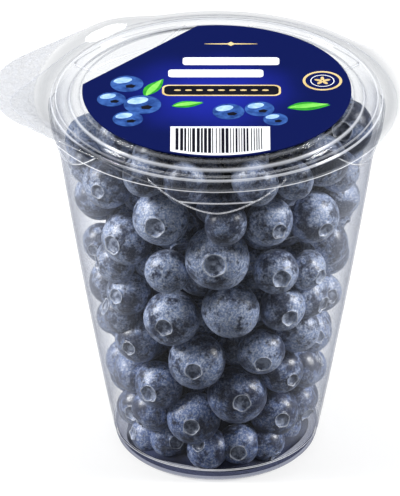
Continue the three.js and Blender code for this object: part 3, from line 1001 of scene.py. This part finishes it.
def label_ink():
    """Navy, with a royal-blue glow round its middle that fades to the edges."""
    made, tree = material("label_navy")
    place = node(tree, "ShaderNodeTexCoord").outputs["Object"]
    shift = node(tree, "ShaderNodeMapping", {
        "Vector": place, "Location": (-(AXIS_X - 2.0) * MM, 0.003, 0), "Scale": (1.0, 1.15, 0.0),
    })
    away = node(tree, "ShaderNodeVectorMath", {0: shift.outputs[0]}, operation="LENGTH").outputs["Value"]
    away = plus(tree, away, times(tree, noise(tree, place, 55.0, 2.0), 0.012))
    glow = ramp(tree, away, 0.010, 0.036, 1.0, 0.0, True)
    ink_surface(tree, place, mixed(tree, glow, srgb(7, 18, 72), srgb(24, 34, 140)), 0.3)
    return made


def floor_paint():
    made, tree = material("pale_floor")
    place = node(tree, "ShaderNodeTexCoord").outputs["Object"]
    tone = mixed(tree, noise(tree, place, 3.0), (0.37, 0.37, 0.37, 1), (0.39, 0.39, 0.39, 1))
    paint = node(tree, "ShaderNodeBsdfPrincipled", {
        "Base Color": tone, "Roughness": 0.9,
        "Emission Color": (1.0, 1.0, 1.0, 1), "Emission Strength": 0.6,
    })
    output(tree, paint.outputs[0])
    return made


# The pieces


def clear_piece(part, shell):
    vertices, faces, light = shell
    film = clear_plastic(f"clear_{part}_plastic", part)
    piece = write_piece(
        f"clear_{part}", vertices, faces, [film], f"clear_{part}", attributes={"edge_light": light}
    )
    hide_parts(part)


clear_piece("cup", cup_shell())
clear_piece("lid", lid_shell())

label_piece = write_piece("film_label", *label_disc(), [label_ink()], "label_print", sharp=30)
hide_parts("label")

art = label_print()
inks = [
    printed("ink_white", (226, 228, 232), (238, 240, 243)),
    printed("ink_gold", (196, 170, 112), (222, 200, 150), 0.28),
    printed("ink_black", (12, 12, 22), (20, 20, 32)),
    printed("ink_leaf", (24, 120, 36), (64, 165, 48), scale=400.0),
    printed("ink_pale_leaf", (96, 190, 70), (140, 214, 100), scale=400.0),
    printed("ink_fruit", (26, 52, 110), (58, 96, 164), scale=500.0),
    printed("ink_glint", (120, 160, 214), (176, 206, 240), scale=600.0),
]
write_piece("label_artwork", art.vertices, art.faces, inks, "label_print", art.indices, sharp=30)


def core_profile():
    """From under the fruits at the base, narrow above it, then out to the core within the heap."""
    foot = [(0, 1.4), (12, 1.4), (24.6, 1.4), (26.0, 2.3), (25.8, 3.4), (24.4, 4.8), (20.5, 6.4)]
    levels = [9, 14, 20, 27, 34, 41, 48, 55, 62, 69, 76, 83, 90, 97]
    nearer = CORE_INSET - CORE_FOOT_INSET
    wall = [
        (inner_wall(z) - CORE_INSET + nearer * (1 - smooth_step(8, 24, z)), z) for z in levels
    ]
    return foot + wall + [(0, CORE_TOP)]


def lumpy(radius, height, turn):
    """Rounded swellings, like the fruits of the next layer in."""
    swell = math.sin(5 * turn + 0.24 * height) + 0.8 * math.sin(4 * turn - 0.37 * height)
    return radius + (CORE_LUMP * swell if radius > 5 else 0.0), height, 0.0


core_vertices, core_faces, _ = turned(core_profile(), 72, lumpy)
write_piece("heap_core", core_vertices, core_faces, [core_painted_shade()], "berry_skin")


def shows(fruit):
    x, y, z, radius = fruit[:4]
    past_core = math.hypot(x, y) + radius > inner_wall(z) - CORE_INSET
    return past_core or z + radius > SHOWN_HIGH or z - radius < SHOWN_LOW


fruit_list = [fruit for fruit in heap() if shows(fruit)]
fruit_list += tucked(fruit_list, Draws(515), **BASE_TUCK)
fruit_list += tucked(fruit_list, Draws(77), **SIDE_TUCK)
fruit_vertices, fruit_sides, tones, crowns = fruits_mesh(fruit_list)
fruit_piece = write_piece(
    "blueberries", fruit_vertices, fruit_sides, [berry_skin()], "berry_skin", sharp=180,
    attributes={"tone": tones, "crown": crowns},
)
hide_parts("berries")


# Floor, light and camera


def stage_floor():
    mesh = bpy.data.meshes.new("floor")
    side, low = 3.0, -0.0002
    corners = [(-side, -side, low), (side, -side, low), (side, side, low), (-side, side, low)]
    mesh.from_pydata(corners, [], [(0, 1, 2, 3)])
    mesh.materials.append(floor_paint())
    floor = bpy.data.objects.new("floor", mesh)
    bpy.context.scene.collection.objects.link(floor)
    floor.visible_diffuse = False  # the white floor neither lights the fruit from below
    floor.visible_glossy = False  # nor shows in it


def softbox(name, place, size, watts):
    """A rectangular light that faces the part's middle."""
    light = bpy.data.lights.new(name, "AREA")
    light.shape = "RECTANGLE"
    light.size, light.size_y = size
    light.energy = watts
    lamp = bpy.data.objects.new(name, light)
    lamp.location = place
    lamp.rotation_mode = "QUATERNION"
    lamp.rotation_quaternion = (Vector((0, 0, 0.06)) - Vector(place)).to_track_quat("-Z", "Y")
    bpy.context.scene.collection.objects.link(lamp)


def studio_world():
    world = bpy.data.worlds.new("studio")
    world.use_nodes = True
    background = world.node_tree.nodes["Background"]
    background.inputs["Color"].default_value = (0.95, 0.97, 1.0, 1)
    background.inputs["Strength"].default_value = 0.15
    bpy.context.scene.world = world


def place_camera():
    camera = bpy.data.cameras.new("camera")
    camera.sensor_width = 36
    camera.lens = PICTURE_SCALE * EYE_DISTANCE * camera.sensor_width / PICTURE_HEIGHT
    camera.clip_start, camera.clip_end = 0.5, 8
    viewer = bpy.data.objects.new("camera", camera)
    pitch = math.radians(EYE_PITCH)
    viewer.location = (
        (EYE_AIM[0] + AXIS_X) * MM,
        -EYE_DISTANCE * math.cos(pitch) * MM,
        (EYE_AIM[2] + EYE_DISTANCE * math.sin(pitch)) * MM,
    )
    viewer.rotation_euler = (math.pi / 2 - pitch, 0, 0)
    bpy.context.scene.collection.objects.link(viewer)
    bpy.context.scene.camera = viewer


stage_floor()
softbox("light_left", (-0.98, -0.08, 0.68), (0.30, 0.42), 16.5)
softbox("light_right", (0.98, -0.08, 0.68), (0.30, 0.42), 14.5)
softbox("light_top", (0.0, 0.25, 1.20), (1.0, 0.8), 5.0)
softbox("light_back", (0.20, 0.80, 1.05), (0.9, 0.3), 1.6)
studio_world()
bpy.context.scene.view_settings.view_transform = "Standard"
place_camera()
